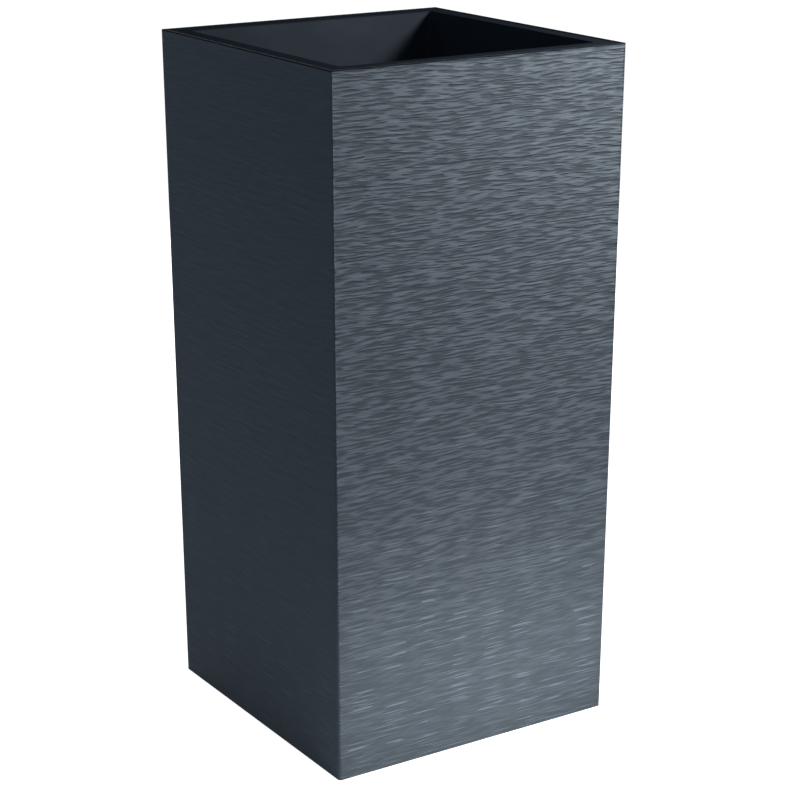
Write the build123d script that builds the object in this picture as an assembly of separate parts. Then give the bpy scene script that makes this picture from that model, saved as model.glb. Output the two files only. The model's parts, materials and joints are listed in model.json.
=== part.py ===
from build123d import *
import os

# Tall square planter with a lift-out planting tub over a water reserve. Millimetres, +Z up, the origin at the
# centre of the base. The side with -Y outwards is the front, and -X is the left side.

# Outer case
case_top_width = 380.0
case_bottom_width = 369.0
case_height = 800.0
case_wall = 4.0
case_floor_thickness = 4.0
case_top_corner_radius = 1.6
case_base_corner_radius = 4.0
case_inner_corner_radius = 2.0
case_top_edge_radius = 0.7
case_foot_height = 6.0
case_foot_band = 14.0
case_drain_hole_radius = 6.0
case_drain_hole_spacing = 190.0
rib_depth = 12.0
rib_thickness = 3.0
rib_spacing = 220.0

# Planting tub, which hangs in the case by its lip
rim_width = 25.0
lip_thickness = 4.0
lip_skirt_height = 14.0
lip_skirt_wall = 3.0
lip_side_gap = 0.6
lip_seat_gap = 0.3
lip_sink = 0.6
lip_edge_radius = 1.0
tub_depth = 340.0
tub_side_taper = 22.0
tub_wall = 3.0
tub_floor_thickness = 3.0
tub_top_corner_radius = 4.0
tub_floor_corner_radius = 12.0
overflow_hole_radius = 4.0
overflow_hole_height = 46.0
overflow_hole_spacing = 60.0

# Lift handles, and the lugs and pins that carry them
handle_pivot_depth = 50.0
handle_width = 112.0
handle_leg_width = 9.0
handle_thickness = 6.0
handle_reach = 84.0
handle_grip_height = 13.0
handle_eye_radius = 6.0
handle_wall_gap = 2.2
handle_outer_corner = 9.0
handle_edge_radius = 1.4
lug_width = 8.0
lug_side_gap = 0.3
pin_radius = 3.0
pin_head_radius = 5.0
pin_head_height = 2.0
pin_press_gap = 0.02
pin_running_gap = 0.06

# False floor over the water reserve, and the wick cups that it stands on
reserve_height = 58.0
grid_thickness = 3.0
grid_side_gap = 1.5
grid_corner_radius = 10.0
grid_skirt_height = 8.0
grid_skirt_wall = 2.0
grid_hole_radius = 3.0
grid_hole_pitch = 18.0
grid_hole_margin = 3.0
wick_cup_spacing = 144.0
wick_cup_top_radius = 27.0
wick_cup_foot_radius = 21.0
wick_cup_wall = 2.0
wick_cup_flange_width = 3.0
wick_cup_flange_thickness = 2.5
wick_slot_width = 4.0
wick_slot_height = 36.0
standing_gap = 0.3

# Fill tube and its cap
fill_tube_radius = 18.0
fill_tube_wall = 2.2
fill_tube_side_gap = 3.0
fill_tube_top_depth = 34.0
tube_foot_gap = 5.0
tube_hole_gap = 0.3
tube_collar_width = 4.0
tube_collar_height = 4.0
cap_wall = 1.8
cap_skirt_height = 9.0
cap_gap = 0.3
cap_knob_radius = 6.0
cap_knob_height = 7.0

# Level indicator
indicator_tube_radius = 13.0
indicator_tube_wall = 1.8
indicator_tube_distance = 14.0
indicator_top_depth = 62.0
indicator_ledge = 3.0
dome_wall = 1.5
dome_skirt_height = 9.0
dome_press_gap = 0.05
dome_head_room = 3.0
float_radius = 10.0
float_height = 26.0
float_gap = 0.3
float_travel = 25.0
rod_radius = 2.0
rod_socket_depth = 12.0
rod_press_gap = 0.02
rod_guide_gap = 0.3
marker_radius = 6.0
marker_height = 7.0

# Drain plugs, the same in the tub and in the case
plug_stem_radius = 9.7
plug_hole_gap = 0.3
plug_stem_below = 2.0
plug_head_radius = 17.0
plug_head_height = 4.0
plug_knob_thickness = 6.0
plug_knob_length = 24.0
plug_knob_height = 12.0
seal_thickness = 2.0
seal_stem_gap = 0.1
seal_inset = 1.5
seal_floor_gap = 0.3

# Heights that differ by less than this are one height
height_rounding = 0.001

# Heights and places that follow from the sizes
case_floor_top = case_foot_height + case_floor_thickness
lip_top = case_height - lip_sink
lip_outer_width = case_top_width - 2 * (case_wall + lip_side_gap)
opening_width = case_top_width - 2 * rim_width
lip_skirt_bottom = lip_top - lip_skirt_height
rib_top = lip_skirt_bottom - lip_seat_gap
rib_face = case_top_width / 2 - case_wall - rib_depth
tub_floor_top = lip_top - tub_depth
tub_floor_bottom = tub_floor_top - tub_floor_thickness
pivot_height = lip_top - handle_pivot_depth
grip_bottom = pivot_height - handle_reach - handle_grip_height / 2
grid_bottom = tub_floor_top + reserve_height
grid_top = grid_bottom + grid_thickness
tube_foot = tub_floor_top + tube_foot_gap
fill_tube_top = lip_top - fill_tube_top_depth
indicator_top = lip_top - indicator_top_depth
float_bottom = tube_foot + indicator_tube_wall + float_gap
marker_bottom = indicator_top + float_gap


def case_width(height):
    """Outside width of the case at a height: it widens evenly from the base to the top."""
    return case_bottom_width + (case_top_width - case_bottom_width) * height / case_height


def tub_width(height):
    """Inside width of the tub at a height: it narrows evenly from the opening to the floor."""
    return opening_width - 2 * tub_side_taper * (lip_top - height) / tub_depth


fill_tube_offset = tub_width(tub_floor_top) / 2 - fill_tube_side_gap - fill_tube_radius
fill_tube_place = (-fill_tube_offset, -fill_tube_offset)
indicator_shift = fill_tube_radius + indicator_tube_distance + indicator_tube_radius
indicator_place = (indicator_shift - fill_tube_offset, -fill_tube_offset)
wick_cup_places = [
    (x * wick_cup_spacing / 2, y * wick_cup_spacing / 2) for x in (-1, 1) for y in (-1, 1)
]
pivot_offset = tub_width(grip_bottom) / 2 - handle_wall_gap - handle_thickness / 2
lug_inner = handle_width / 2 + lug_side_gap
lug_outer = lug_inner + lug_width


def tapered_block(bottom_width, top_width, low, high, bottom_radius, top_radius):
    """A square block with rounded upright edges, whose width changes evenly from low to high."""
    bottom = Pos(0, 0, low) * RectangleRounded(bottom_width, bottom_width, bottom_radius)
    top = Pos(0, 0, high) * RectangleRounded(top_width, top_width, top_radius)
    return loft([bottom, top], ruled=True)


def block_between(low_corner, high_corner):
    """A box from one corner to the opposite one."""
    size = [abs(b - a) for a, b in zip(low_corner, high_corner)]
    middle = [(a + b) / 2 for a, b in zip(low_corner, high_corner)]
    return Pos(*middle) * Box(*size)


def upright_cylinder(radius, low, high, place=(0, 0)):
    """A cylinder that starts at the height low and ends at the height high."""
    return Pos(place[0], place[1], (low + high) / 2) * Cylinder(radius, high - low)


def cylinder_along_y(radius, start, end, x, z):
    """A cylinder along Y from start to end."""
    return Pos(x, (start + end) / 2, z) * Rot(90, 0, 0) * Cylinder(radius, abs(end - start))


def edges_at(shape, height):
    """The edges that lie level at a height, give or take the rounding of the sums that led to it."""
    return shape.edges().filter_by_position(Axis.Z, height - height_rounding, height + height_rounding)


def make_outer_case():
    """The moulded case: four walls, a raised floor inside a foot band, and ribs that carry the tub's lip."""
    outside = tapered_block(
        case_bottom_width, case_top_width, 0, case_height, case_base_corner_radius, case_top_corner_radius
    )
    above = case_height + case_wall
    cavity = tapered_block(
        case_width(case_floor_top) - 2 * case_wall,
        case_width(above) - 2 * case_wall,
        case_floor_top,
        above,
        case_inner_corner_radius,
        case_inner_corner_radius,
    )
    foot_half = case_bottom_width / 2 - case_foot_band
    foot_hollow = block_between((-foot_half, -foot_half, 0), (foot_half, foot_half, case_foot_height))
    drain_half = case_drain_hole_spacing / 2
    holes = [
        upright_cylinder(case_drain_hole_radius, 0, case_floor_top, (x, y))
        for x in (-drain_half, drain_half)
        for y in (-drain_half, drain_half)
    ]
    holes.append(upright_cylinder(plug_stem_radius + plug_hole_gap, 0, case_floor_top))
    case = outside - cavity - foot_hollow + make_case_ribs() - holes
    return fillet(edges_at(case, case_height), case_top_edge_radius)


def make_case_ribs():
    """Two upright ribs on each wall, rooted halfway into it. They end just under the lip's skirt."""
    reach = max(case_width(0), case_width(case_height)) / 2
    half = rib_thickness / 2
    rib = block_between((rib_face, -half, case_foot_height), (reach, half, rib_top))
    ribs = [
        Rot(0, 0, 90 * quarter) * Pos(0, end * rib_spacing / 2, 0) * rib
        for quarter in range(4)
        for end in (-1, 1)
    ]
    inside_walls = tapered_block(
        case_width(0) - case_wall,
        case_width(case_height) - case_wall,
        0,
        case_height,
        case_inner_corner_radius,
        case_inner_corner_radius,
    )
    return (Part() + ribs) & inside_walls


def make_planting_insert():
    """The tub: a flat lip with a turned-down skirt, tapered walls, lugs for the handles and a drained floor."""
    above = lip_top + lip_thickness
    outside = tapered_block(
        tub_width(tub_floor_bottom) + 2 * tub_wall,
        tub_width(lip_top) + 2 * tub_wall,
        tub_floor_bottom,
        lip_top,
        tub_floor_corner_radius,
        tub_top_corner_radius,
    )
    inside = tapered_block(
        tub_width(tub_floor_top),
        tub_width(above),
        tub_floor_top,
        above,
        tub_floor_corner_radius,
        tub_top_corner_radius,
    )
    skirt_radius = case_inner_corner_radius
    skirt_inner_width = lip_outer_width - 2 * lip_skirt_wall
    lip = tapered_block(
        lip_outer_width, lip_outer_width, lip_skirt_bottom, lip_top, skirt_radius, skirt_radius
    )
    lip -= tapered_block(
        skirt_inner_width,
        skirt_inner_width,
        lip_skirt_bottom,
        lip_top - lip_thickness,
        skirt_radius,
        skirt_radius,
    )
    tub = lip + outside - inside + make_lugs(outside)
    bore_radius = pin_radius + pin_press_gap
    for side in (-1, 1):
        x = side * pivot_offset
        tub -= cylinder_along_y(bore_radius, -lug_outer - lug_width, lug_outer + lug_width, x, pivot_height)
    tub -= upright_cylinder(plug_stem_radius + plug_hole_gap, tub_floor_bottom, tub_floor_top)
    tub -= make_overflow_holes()
    return fillet(edges_at(tub, lip_top), lip_edge_radius)


def make_lugs(outside):
    """Four lugs on the inner side walls, each rounded about the pivot line of its handle."""
    lugs = []
    for side in (-1, 1):
        for end in (-1, 1):
            x = side * pivot_offset
            eye = cylinder_along_y(handle_eye_radius, end * lug_inner, end * lug_outer, x, pivot_height)
            root = block_between(
                (x, end * lug_inner, pivot_height - handle_eye_radius),
                (side * opening_width / 2, end * lug_outer, pivot_height + handle_eye_radius),
            )
            lugs.append(eye + root)
    return (Part() + lugs) & outside


def make_overflow_holes():
    """Two holes through the back wall, which let the reserve spill before it reaches the false floor."""
    height = tub_floor_top + overflow_hole_height
    wall_inner = tub_width(height) / 2
    return [
        cylinder_along_y(
            overflow_hole_radius,
            wall_inner - 2 * tub_wall,
            wall_inner + 2 * tub_wall,
            end * overflow_hole_spacing / 2,
            height,
        )
        for end in (-1, 1)
    ]


def make_pivot_pins():
    """Four headed pins, each pushed through a lug into one eye of a handle."""
    pins = []
    eye_inner = handle_width / 2 - handle_leg_width
    for side in (-1, 1):
        for end in (-1, 1):
            x = side * pivot_offset
            shank = cylinder_along_y(pin_radius, end * eye_inner, end * lug_outer, x, pivot_height)
            head_end = end * (lug_outer + pin_head_height)
            head = cylinder_along_y(pin_head_radius, end * lug_outer, head_end, x, pivot_height)
            pins.append(shank + head)
    return Compound(children=[pin.solid() for pin in pins])


def make_lift_handle(side):
    """A bail that hangs by its two eyes against one side wall: side -1 is the left one, 1 the right one."""
    drop = pivot_height - grip_bottom
    outline = Pos(0, -drop / 2) * Rectangle(handle_width, drop)
    outline = fillet(outline.vertices().group_by(Axis.Y)[0], handle_outer_corner)
    window_height = drop - handle_grip_height
    window = Pos(0, -window_height / 2) * Rectangle(handle_width - 2 * handle_leg_width, window_height)
    window = fillet(window.vertices().group_by(Axis.Y)[0], handle_outer_corner / 2)
    frame = extrude(Plane.YZ * (outline - window), handle_thickness / 2, both=True)
    frame = fillet(frame.edges().filter_by(lambda edge: edge.center().Z < -drop / 4), handle_edge_radius)
    bail = Pos(side * pivot_offset, 0, pivot_height) * frame
    x = side * pivot_offset
    outer = handle_width / 2
    inner = outer - handle_leg_width
    for end in (-1, 1):
        bail += cylinder_along_y(handle_eye_radius, end * inner, end * outer, x, pivot_height)
    bail -= cylinder_along_y(pin_radius + pin_running_gap, -outer, outer, x, pivot_height)
    return bail


def make_reservoir_grid():
    """The false floor: a perforated plate with a skirt, and a mouth over each wick cup."""
    skirt_bottom = grid_bottom - grid_skirt_height
    plate_width = tub_width(grid_bottom) - 2 * grid_side_gap
    skirt_width = tub_width(skirt_bottom) - 2 * grid_side_gap
    hollow_width = skirt_width - 2 * grid_skirt_wall
    plate = tapered_block(
        skirt_width, plate_width, skirt_bottom, grid_top, grid_corner_radius, grid_corner_radius
    )
    plate -= tapered_block(
        hollow_width, hollow_width, skirt_bottom, grid_bottom, grid_corner_radius, grid_corner_radius
    )
    plate -= make_handle_notches(skirt_bottom)
    mouth_radius = wick_cup_top_radius - wick_cup_wall
    plate -= [upright_cylinder(mouth_radius, grid_bottom, grid_top, place) for place in wick_cup_places]
    plate -= make_grid_holes(plate_width)
    tube_holes = [
        upright_cylinder(fill_tube_radius + tube_hole_gap, skirt_bottom, grid_top, fill_tube_place),
        upright_cylinder(indicator_tube_radius + tube_hole_gap, skirt_bottom, grid_top, indicator_place),
    ]
    return plate - tube_holes


def make_handle_notches(skirt_bottom):
    """A cut in each side edge of the plate, so that it passes the lugs and handles when it is lifted out."""
    face = pivot_offset - handle_eye_radius - grid_side_gap
    half_length = lug_outer + pin_head_height + grid_side_gap
    return [
        block_between(
            (side * face, -half_length, skirt_bottom), (side * opening_width / 2, half_length, grid_top)
        )
        for side in (-1, 1)
    ]


def make_grid_holes(plate_width):
    """Drainage holes on a square pitch, left out near the plate's edge, the wick cups and the two tubes."""
    kept_clear = [(place, wick_cup_top_radius) for place in wick_cup_places]
    kept_clear.append((fill_tube_place, fill_tube_radius + tube_collar_width))
    kept_clear.append((indicator_place, indicator_tube_radius + tube_collar_width))
    clearance = grid_hole_radius + grid_hole_margin
    edge_limit = min(plate_width / 2 - grid_skirt_wall, pivot_offset - handle_eye_radius) - clearance
    steps = int(edge_limit // grid_hole_pitch)
    holes = []
    for column in range(-steps, steps + 1):
        for row in range(-steps, steps + 1):
            x, y = column * grid_hole_pitch, row * grid_hole_pitch
            distances = [((x - p[0]) ** 2 + (y - p[1]) ** 2) ** 0.5 - radius for p, radius in kept_clear]
            if min(distances) > clearance:
                holes.append(upright_cylinder(grid_hole_radius, grid_bottom, grid_top, (x, y)))
    return holes


def make_wick_cup():
    """A tapered cup, open at the top, whose slots let the soil in it draw water. Its flange carries the plate."""
    foot = tub_floor_top + standing_gap
    height = grid_bottom - foot
    cup = Pos(0, 0, foot + height / 2) * Cone(wick_cup_foot_radius, wick_cup_top_radius, height)
    flange_radius = wick_cup_top_radius + wick_cup_flange_width
    cup += upright_cylinder(flange_radius, grid_bottom - wick_cup_flange_thickness, grid_bottom)
    hollow_height = height - wick_cup_wall
    cup -= Pos(0, 0, grid_bottom - hollow_height / 2) * Cone(
        wick_cup_foot_radius - wick_cup_wall, wick_cup_top_radius - wick_cup_wall, hollow_height
    )
    slot_low = foot + 2 * wick_cup_wall
    slot_high = slot_low + wick_slot_height
    half = wick_slot_width / 2
    reach = wick_cup_top_radius
    cup -= block_between((-half, -reach, slot_low), (half, reach, slot_high))
    cup -= block_between((-reach, -half, slot_low), (reach, half, slot_high))
    return cup


def make_wick_cups():
    """Four cups that stand on the tub's floor and carry the false floor on their flanges."""
    return Compound(children=[(Pos(x, y, 0) * make_wick_cup()).solid() for x, y in wick_cup_places])


def make_collar(radius, place):
    """A flange round a tube that rests on the false floor."""
    return upright_cylinder(radius + tube_collar_width, grid_top, grid_top + tube_collar_height, place)


def make_fill_tube():
    """The pipe in the near corner, from just above the tub's floor to just below the lip."""
    tube = upright_cylinder(fill_tube_radius, tube_foot, fill_tube_top, fill_tube_place)
    tube += make_collar(fill_tube_radius, fill_tube_place)
    bore_radius = fill_tube_radius - fill_tube_wall
    return tube - upright_cylinder(bore_radius, tube_foot, fill_tube_top, fill_tube_place)


def make_fill_tube_cap():
    """A lift-off cap with a small knob, whose skirt goes over the end of the tube."""
    under = fill_tube_top + cap_gap
    top = under + cap_wall
    inner = fill_tube_radius + cap_gap
    cap = upright_cylinder(inner + cap_wall, top - cap_skirt_height, top, fill_tube_place)
    cap -= upright_cylinder(inner, top - cap_skirt_height, under, fill_tube_place)
    cap = fillet(edges_at(cap, top), cap_wall / 2)
    cap += upright_cylinder(cap_knob_radius, top, top + cap_knob_height, fill_tube_place)
    return fillet(edges_at(cap, top + cap_knob_height), cap_knob_radius / 4)


def make_level_indicator_tube():
    """The float's guide: a ledge at its foot carries the float, and its closed top guides the rod."""
    wall = indicator_tube_wall
    tube = upright_cylinder(indicator_tube_radius, tube_foot, indicator_top, indicator_place)
    tube += make_collar(indicator_tube_radius, indicator_place)
    bore_radius = indicator_tube_radius - wall
    tube -= upright_cylinder(bore_radius, tube_foot + wall, indicator_top - wall, indicator_place)
    tube -= upright_cylinder(bore_radius - indicator_ledge, tube_foot, tube_foot + wall, indicator_place)
    guide_radius = rod_radius + rod_guide_gap
    return tube - upright_cylinder(guide_radius, indicator_top - wall, indicator_top, indicator_place)


def make_level_indicator_dome():
    """The clear cap over the marker, tall enough for its whole travel."""
    inner = indicator_tube_radius + dome_press_gap
    outer = inner + dome_wall
    ceiling = marker_bottom + marker_height + float_travel + dome_head_room
    foot = indicator_top - dome_skirt_height
    dome = upright_cylinder(outer, foot, ceiling + dome_wall, indicator_place)
    dome = fillet(edges_at(dome, ceiling + dome_wall), outer / 3)
    dome -= upright_cylinder(inner, foot, indicator_top, indicator_place)
    head_radius = inner - indicator_tube_wall
    head = upright_cylinder(head_radius, indicator_top, ceiling, indicator_place)
    return dome - fillet(edges_at(head, ceiling), outer / 3)


def make_level_float():
    """A closed float with a socket for the rod in its top."""
    top = float_bottom + float_height
    body = upright_cylinder(float_radius, float_bottom, top, indicator_place)
    body = fillet(edges_at(body, top) + edges_at(body, float_bottom), float_radius / 5)
    socket = upright_cylinder(rod_radius + rod_press_gap, top - rod_socket_depth, top, indicator_place)
    return body - socket


def make_level_indicator_rod():
    """The rod from the float up to the marker, which shows in the clear cap."""
    foot = float_bottom + float_height - rod_socket_depth
    rod = upright_cylinder(rod_radius, foot, marker_bottom, indicator_place)
    marker_top = marker_bottom + marker_height
    marker = upright_cylinder(marker_radius, marker_bottom, marker_top, indicator_place)
    return rod + fillet(edges_at(marker, marker_top), marker_radius / 3)


def make_drain_plug(floor_top, floor_bottom):
    """A plug that drops into a floor hole from above, with a bar to pull it by."""
    head_bottom = floor_top + seal_floor_gap + seal_thickness
    head_top = head_bottom + plug_head_height
    stem = upright_cylinder(plug_stem_radius, floor_bottom - plug_stem_below, head_bottom)
    head = upright_cylinder(plug_head_radius, head_bottom, head_top)
    head = fillet(edges_at(head, head_top), plug_head_height / 4)
    half_length = plug_knob_length / 2
    half_thickness = plug_knob_thickness / 2
    knob = block_between(
        (-half_length, -half_thickness, head_top), (half_length, half_thickness, head_top + plug_knob_height)
    )
    knob = fillet(knob.edges().filter_by(Axis.Y).group_by(Axis.Z)[-1], plug_knob_height / 3)
    return stem + head + knob


def make_drain_seal(floor_top):
    """The flat rubber washer under a plug's head."""
    low = floor_top + seal_floor_gap
    high = low + seal_thickness
    return upright_cylinder(plug_head_radius - seal_inset, low, high) - upright_cylinder(
        plug_stem_radius + seal_stem_gap, low, high
    )


pieces = {
    "outer_case": make_outer_case(),
    "case_drain_plug": make_drain_plug(case_floor_top, case_foot_height),
    "case_drain_seal": make_drain_seal(case_floor_top),
    "planting_insert": make_planting_insert(),
    "handle_pivot_pins": make_pivot_pins(),
    "left_lift_handle": make_lift_handle(-1),
    "right_lift_handle": make_lift_handle(1),
    "insert_drain_plug": make_drain_plug(tub_floor_top, tub_floor_bottom),
    "insert_drain_seal": make_drain_seal(tub_floor_top),
    "reservoir_grid": make_reservoir_grid(),
    "wick_cups": make_wick_cups(),
    "fill_tube": make_fill_tube(),
    "fill_tube_cap": make_fill_tube_cap(),
    "level_indicator_tube": make_level_indicator_tube(),
    "level_indicator_dome": make_level_indicator_dome(),
    "level_float": make_level_float(),
    "level_indicator_rod": make_level_indicator_rod(),
}

os.makedirs("parts", exist_ok=True)
for name, piece in pieces.items():
    export_step(piece, f"parts/{name}.step")
    size = piece.bounding_box().size
    print(f"{name}: {len(piece.solids())} solid, {size.X:.1f} x {size.Y:.1f} x {size.Z:.1f} mm")
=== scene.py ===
# %% [markdown]
# A tall square planter in dark plastic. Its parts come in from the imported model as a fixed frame, in
# metres, with every part in its place. This file gives each part its finish, builds new surfaces where
# the plain parts lack the detail of the real ones, and sets up the floor, the lights and the camera.

import json
import math

import bmesh
import bpy
import numpy as np
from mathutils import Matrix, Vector


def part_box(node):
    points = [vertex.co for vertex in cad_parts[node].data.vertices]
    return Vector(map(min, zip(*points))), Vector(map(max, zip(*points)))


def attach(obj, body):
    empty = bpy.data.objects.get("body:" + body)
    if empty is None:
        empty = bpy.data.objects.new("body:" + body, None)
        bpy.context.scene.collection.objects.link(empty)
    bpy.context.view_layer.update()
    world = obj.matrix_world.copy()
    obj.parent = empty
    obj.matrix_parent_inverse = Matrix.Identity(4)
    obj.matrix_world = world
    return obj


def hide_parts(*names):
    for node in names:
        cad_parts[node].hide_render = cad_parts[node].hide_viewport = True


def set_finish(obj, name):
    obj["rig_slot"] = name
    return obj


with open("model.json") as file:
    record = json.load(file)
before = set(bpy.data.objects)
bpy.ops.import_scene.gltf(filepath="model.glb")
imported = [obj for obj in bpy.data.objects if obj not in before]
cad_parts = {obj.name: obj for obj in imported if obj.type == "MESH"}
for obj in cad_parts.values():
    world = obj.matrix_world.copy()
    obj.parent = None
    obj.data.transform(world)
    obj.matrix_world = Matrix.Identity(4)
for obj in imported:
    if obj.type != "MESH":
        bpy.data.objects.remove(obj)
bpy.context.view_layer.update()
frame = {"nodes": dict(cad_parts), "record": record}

# %% [markdown]
# Small sizes read best in millimetres, and Blender works in metres, so each size below is written as a
# number of millimetres times `mm`. The plain parts tell the overall sizes, so that nothing has to be
# typed twice.

# %% Sizes read from the frame
mm = 0.001


def part_points(name):
    """All points of a plain part as an array with one row of x, y, z for each point."""
    mesh = frame["nodes"][name].data
    points = np.empty(len(mesh.vertices) * 3, np.float32)
    mesh.vertices.foreach_get("co", points)
    return points.reshape(-1, 3).astype(float)


case_points = part_points("outer_case")
case_height = case_points[:, 2].max()
case_top_half = case_points[:, 0].max()
case_base_half = case_points[case_points[:, 2] < 0.1 * mm, 0].max()
print("case height, half widths at the top and base:", case_height, case_top_half, case_base_half)

# %% [markdown]
# The photograph looks down on one corner. Its camera was worked out from the seven corners that show:
# the point where it stood, the way it turned and its focal length all follow from them. The picture is
# 800 pixels square, so a focal length in pixels becomes millimetres on a 36 mm sensor by a plain ratio.

# %% Camera
picture_pixels = 800
focal_pixels = 2207.9
sensor_width = 36.0
camera_place = (-1.3439, -2.1103, 1.1389)
camera_turn = 32.783
camera_tilt = -17.084

camera_data = bpy.data.cameras.new("camera")
camera_data.sensor_width = sensor_width
camera_data.lens = focal_pixels * sensor_width / picture_pixels
camera = bpy.data.objects.new("camera", camera_data)
bpy.context.scene.collection.objects.link(camera)
camera.location = camera_place
camera.rotation_euler = (math.radians(90 + camera_tilt), 0, math.radians(-camera_turn))
bpy.context.scene.camera = camera
print("lens:", round(camera_data.lens, 1), "mm")

# %% [markdown]
# Every new surface here is a grid of points: rows that follow a profile, and columns that go round the
# part. One helper turns such a grid into a mesh, because the faces between the points always follow the
# same rule. `foreach_set` hands whole arrays to Blender, which is hundreds of times faster than a loop
# over the points.

# %% Mesh helpers


def mesh_object(name, points, faces, crease=180):
    """A mesh object from an array of points and a list of arrays of faces, where each array has faces
    of one size. Edges that bend by more than the crease, in degrees, are shaded sharp."""
    mesh = bpy.data.meshes.new(name)
    sizes = np.concatenate([np.full(len(block), block.shape[1]) for block in faces])
    corners = np.concatenate([block.ravel() for block in faces])
    mesh.vertices.add(len(points))
    mesh.vertices.foreach_set("co", np.asarray(points, np.float32).ravel())
    mesh.loops.add(len(corners))
    mesh.loops.foreach_set("vertex_index", corners.astype(np.int32))
    mesh.polygons.add(len(sizes))
    mesh.polygons.foreach_set("loop_start", (np.cumsum(sizes) - sizes).astype(np.int32))
    mesh.polygons.foreach_set("use_smooth", np.ones(len(sizes), bool))
    mesh.update(calc_edges=True)
    mesh.validate()
    mesh.set_sharp_from_angle(angle=math.radians(crease))
    piece = bpy.data.objects.new(name, mesh)
    bpy.context.scene.collection.objects.link(piece)
    return piece


def grid_faces(rows, columns, closed_rows=False):
    """Four-cornered faces between the points of a grid whose columns run round and meet: point i, j is
    number i * columns + j. With closed_rows the last row joins the first."""
    row = np.arange(rows if closed_rows else rows - 1)[:, None]
    column = np.arange(columns)[None, :]
    next_row = (row + 1) % rows
    next_column = (column + 1) % columns
    corners = [
        row * columns + column,
        row * columns + next_column,
        next_row * columns + next_column,
        next_row * columns + column,
    ]
    return np.stack([np.broadcast_to(c, (len(row), columns)) for c in corners], -1).reshape(-1, 4)


def bend_points(start, corner, end, radius, steps=4):
    """Points of a round edge in a profile: an arc of that radius that touches both straight runs at a
    corner."""
    start, corner, end = (np.array(p, float) for p in (start, corner, end))
    to_start = (start - corner) / np.linalg.norm(start - corner)
    to_end = (end - corner) / np.linalg.norm(end - corner)
    half_angle = math.acos(np.clip(to_start @ to_end, -1, 1)) / 2
    middle = (to_start + to_end) / np.linalg.norm(to_start + to_end)
    centre = corner + middle * radius / math.sin(half_angle)
    first = corner + to_start * radius / math.tan(half_angle) - centre
    sweep = math.pi - 2 * half_angle
    turn = np.sign(first[0] * (-middle)[1] - first[1] * (-middle)[0])
    angles = turn * np.linspace(0, sweep, steps + 1)
    return centre + np.stack(
        [
            first[0] * np.cos(angles) - first[1] * np.sin(angles),
            first[0] * np.sin(angles) + first[1] * np.cos(angles),
        ],
        -1,
    )


def rounded_profile(corners, radii, steps=4, closed=False):
    """A profile through corners, with a round edge of its own radius at each. A radius of 0 keeps the
    corner sharp."""
    corners = [np.array(p, float) for p in corners]
    last = len(corners) - 1
    points = []
    for number, (corner, radius) in enumerate(zip(corners, radii)):
        if radius == 0 or (not closed and number in (0, last)):
            points.append(corner[None])
        else:
            before, after = corners[number - 1], corners[(number + 1) % len(corners)]
            points.append(bend_points(before, corner, after, radius, steps))
    return np.concatenate(points)


print("mesh helpers ready")

# %% [markdown]
# The case is a square tower, so most of its surface can be made in one go: a profile runs up the
# outside and down the inside, and each point of it is carried round the square. A point of a ring is
# the corner of a smaller square plus a step outwards, which makes every corner round with an exact
# radius.

# %% Rings of a square part
edge_columns = (0.0, 1.5 * mm, 4.0 * mm, 9.0 * mm)
middle_columns = 33
corner_columns = 4


def square_columns(side):
    """Columns round a square with sides of that length. Three arrays: C, the point on a square from -1
    to 1; N, the direction outwards; and the way along the side from its first corner, in metres.
    Straight columns have C on a side and N square to it. Corner columns have C in the corner and N
    turned evenly through 90 degrees."""
    near_edge = np.array(edge_columns) / side
    middle = np.linspace(near_edge[-1], 1 - near_edge[-1], middle_columns)[1:-1]
    shares = np.concatenate([near_edge, middle, 1 - near_edge[::-1]])
    angles = np.radians(np.linspace(-90, 0, corner_columns + 1))[1:-1]
    side_c = np.stack([2 * shares - 1, -np.ones_like(shares)], -1)
    corner_c = np.tile([1.0, -1.0], (len(angles), 1))
    side_n = np.tile([0.0, -1.0], (len(shares), 1))
    corner_n = np.stack([np.cos(angles), np.sin(angles)], -1)
    c, n = np.concatenate([side_c, corner_c]), np.concatenate([side_n, corner_n])
    way = np.concatenate([shares * side, np.full(len(angles), side)])
    quarters = np.radians([0, 90, 180, 270])
    turns = [np.array([[math.cos(a), math.sin(a)], [-math.sin(a), math.cos(a)]]) for a in quarters]
    return (
        np.concatenate([c @ turn for turn in turns]).round(12),
        np.concatenate([n @ turn for turn in turns]).round(12),
        np.concatenate([way + number * side for number in range(4)]),
    )


def square_rings(halves, heights, radii, columns, swell):
    """Points of rings, rows x columns x 3: P = (half width - radius) * C + (radius + swell) * N, at its
    height. The swell is the relief."""
    c, n, _ = columns
    straight = (halves - radii)[:, None, None] * c
    around = (radii[:, None] + swell)[:, :, None] * n
    flat = straight + around
    return np.concatenate([flat, np.broadcast_to(heights[:, None, None], (*flat.shape[:2], 1))], -1)


case_columns = square_columns(2 * case_top_half)
print("columns round the case:", len(case_columns[0]))

# %% [markdown]
# The faces of the real case carry a relief of fine, wavy, level strokes, as if a coarse brush had been
# drawn round it before the mould was cut. It is too fine to model stroke by stroke, and too deep for a
# picture on a flat wall, which would look flat along its edges. A noise on a lattice of random heights
# gives it: cells that are much wider than they are high make strokes, and a second, slower noise that
# moves the lattice up and down makes them wavy.

# %% Relief of the case
stroke_length = 30 * mm
stroke_pitch = 3.4 * mm
stroke_depth = 1.5 * mm
stroke_edge = 0.55
calm_share = 0.2
side_share = 0.2
sway_length = 90 * mm
sway_pitch = 36 * mm
sway_reach = 2.4 * mm
fine_share, fine_length, fine_pitch = 0.4, 0.3, 0.4
long_share, short_share, short_length, short_pitch = 0.62, 0.38, 0.45, 0.8
calm_height = 0.6
sway_seeds, stroke_seeds = (11, 12), (13, 14)


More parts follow.
